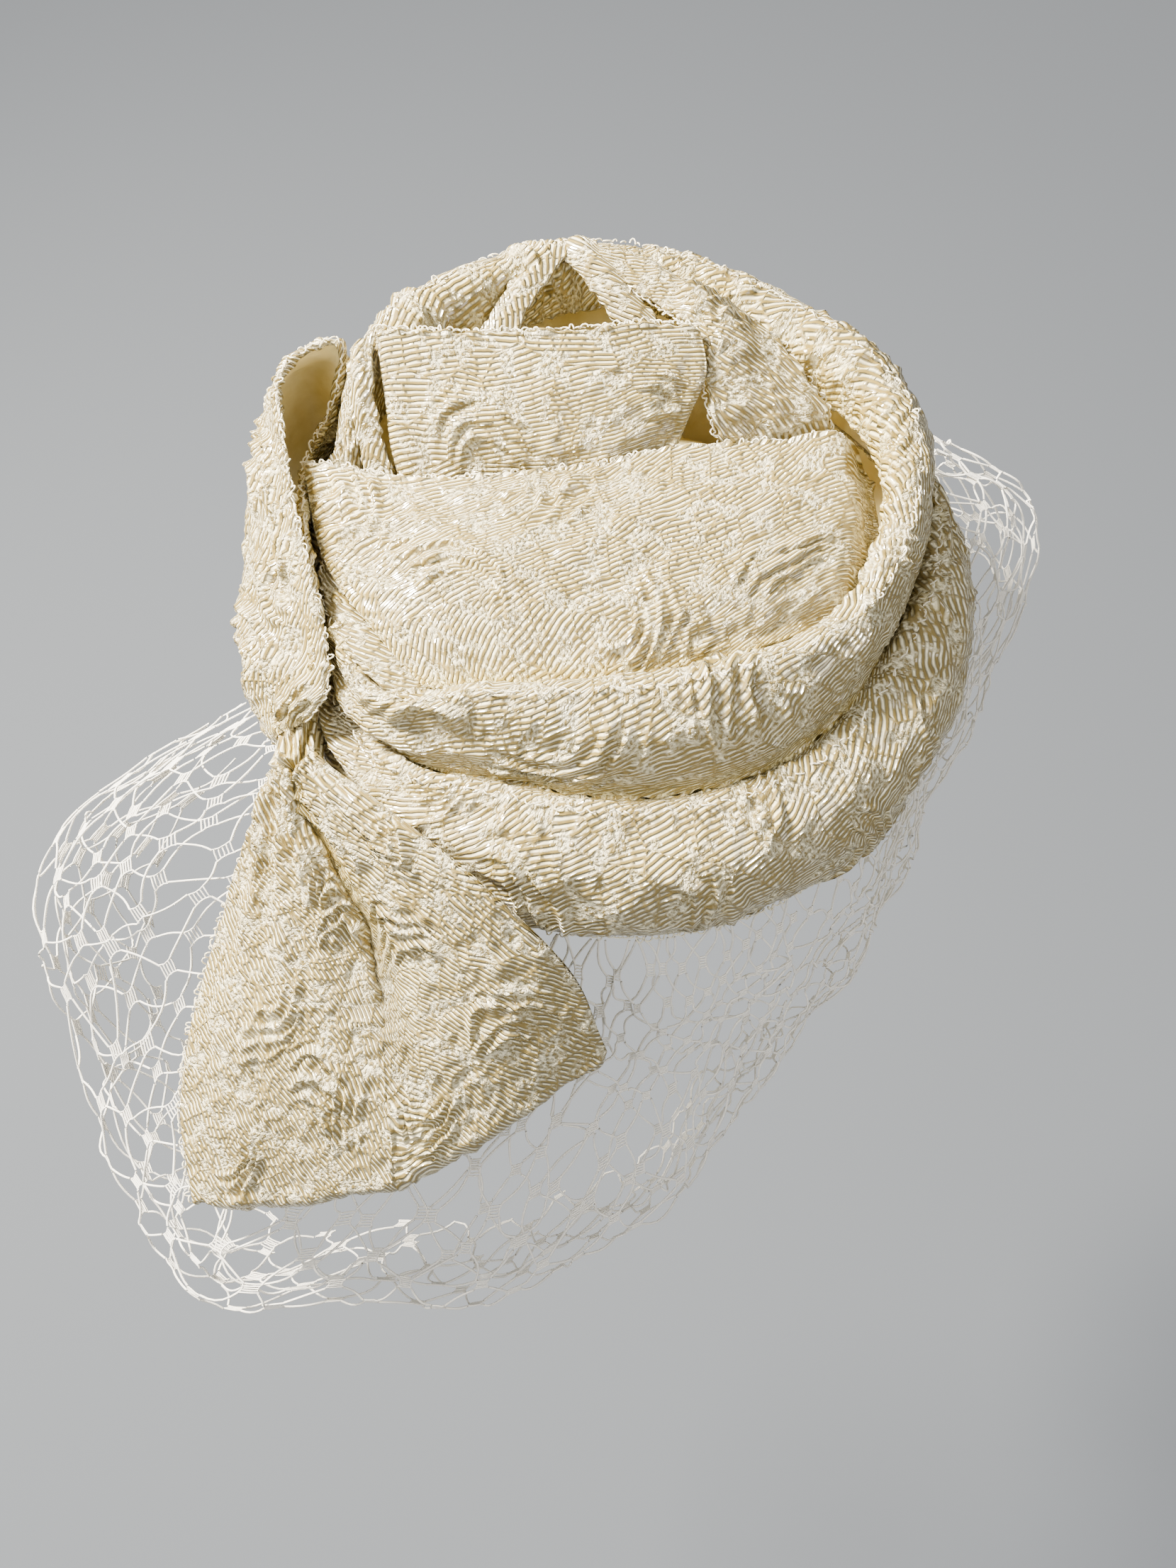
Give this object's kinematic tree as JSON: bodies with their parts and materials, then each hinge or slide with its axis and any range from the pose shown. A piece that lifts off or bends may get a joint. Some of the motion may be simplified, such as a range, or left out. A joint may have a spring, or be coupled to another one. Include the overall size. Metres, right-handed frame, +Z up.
{
  "type": "pillbox hat",
  "caption": "Draped pillbox hat in ribbed ivory silk, with folded swathes round a low crown, a side bow and a short open-net face veil.",
  "frame": {"origin": "centre of the head opening, in the plane of the rim", "axes": "+Z up the crown; the wearer faces -Y; the bow is at the wearer's right, on the -X side"},
  "size_m": [0.3146, 0.2531, 0.2171],
  "materials": {
    "ivory_cloque_silk": "blistered, ribbed silk with a soft sheen",
    "smooth_silk_inside": "smooth plain-woven silk, in shade",
    "veil_net": "off-white thread, knotted into an open net"
  },
  "bodies": {
    "root": {"cap": "smooth_silk_inside", "lower_swathe": "ivory_cloque_silk", "upper_swathe": "ivory_cloque_silk", "crown_panel": "ivory_cloque_silk", "centre_fold": "ivory_cloque_silk", "left_strap": "ivory_cloque_silk", "left_fold": "ivory_cloque_silk", "back_left_strap": "ivory_cloque_silk", "back_right_strap": "ivory_cloque_silk", "right_flap": "ivory_cloque_silk", "bow_waist": "ivory_cloque_silk", "bow_back_loop": "ivory_cloque_silk", "bow_front_loop": "ivory_cloque_silk", "veil": "veil_net"}
  },
  "joints": []
}
